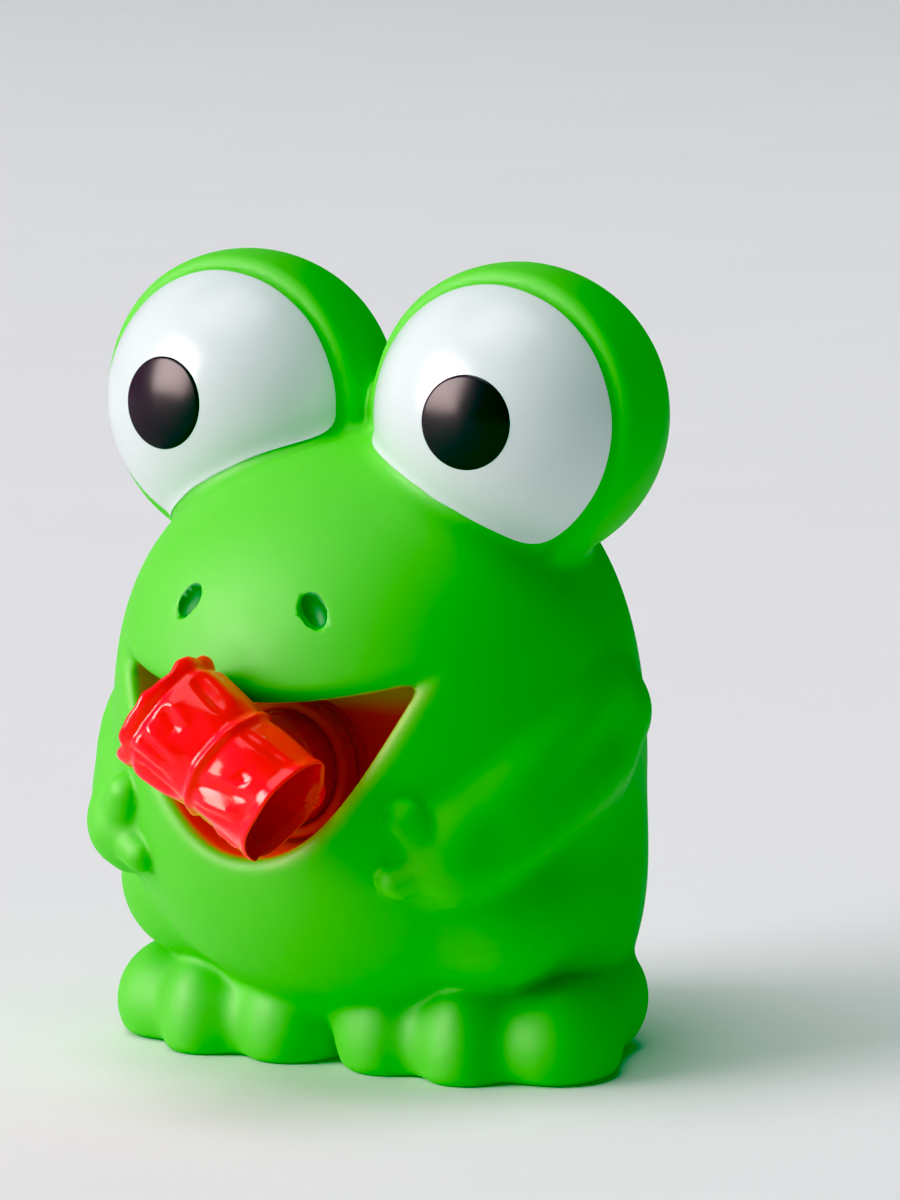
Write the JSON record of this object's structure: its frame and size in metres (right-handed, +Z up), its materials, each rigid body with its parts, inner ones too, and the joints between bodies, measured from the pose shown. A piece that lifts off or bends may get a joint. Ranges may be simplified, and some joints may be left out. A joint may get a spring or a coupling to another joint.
{
  "type": "squeeze frog toy",
  "caption": "Hollow soft vinyl frog with bulging eyes and an open mouth; squeezing it blows a rolled red film tongue straight out of the mouth, which then curls back.",
  "frame": {"origin": "on the flat base, on the mirror plane, below the middle of the body", "axes": "+Z up through the head, -Y the way the face looks and the tongue shoots, +X the frog's left"},
  "size_m": [0.0568, 0.0628, 0.075],
  "materials": {
    "green_vinyl": "soft vinyl, satin, bright green",
    "white_gloss": "gloss white",
    "black_gloss": "gloss black",
    "red_film": "thin glossy red film",
    "red_plastic": "dark red, satin"
  },
  "bodies": {
    "frog_body": {"body_shell": "green_vinyl", "base_plug": "green_vinyl", "eye_white_left": "white_gloss", "eye_white_right": "white_gloss", "pupil_left": "black_gloss", "pupil_right": "black_gloss", "tongue_nozzle": "red_plastic", "tongue_collar": "red_plastic", "tongue_neck": "red_film"},
    "tongue": {"tongue_roll": "red_film"}
  },
  "joints": [
    {"name": "tongue_extend", "type": "slide", "parent": "frog_body", "child": "tongue", "axis": [0, -1, 0], "range_m": [0, 0.055], "stiffness_N_per_m": 4, "deforming": ["tongue_neck"]}
  ]
}
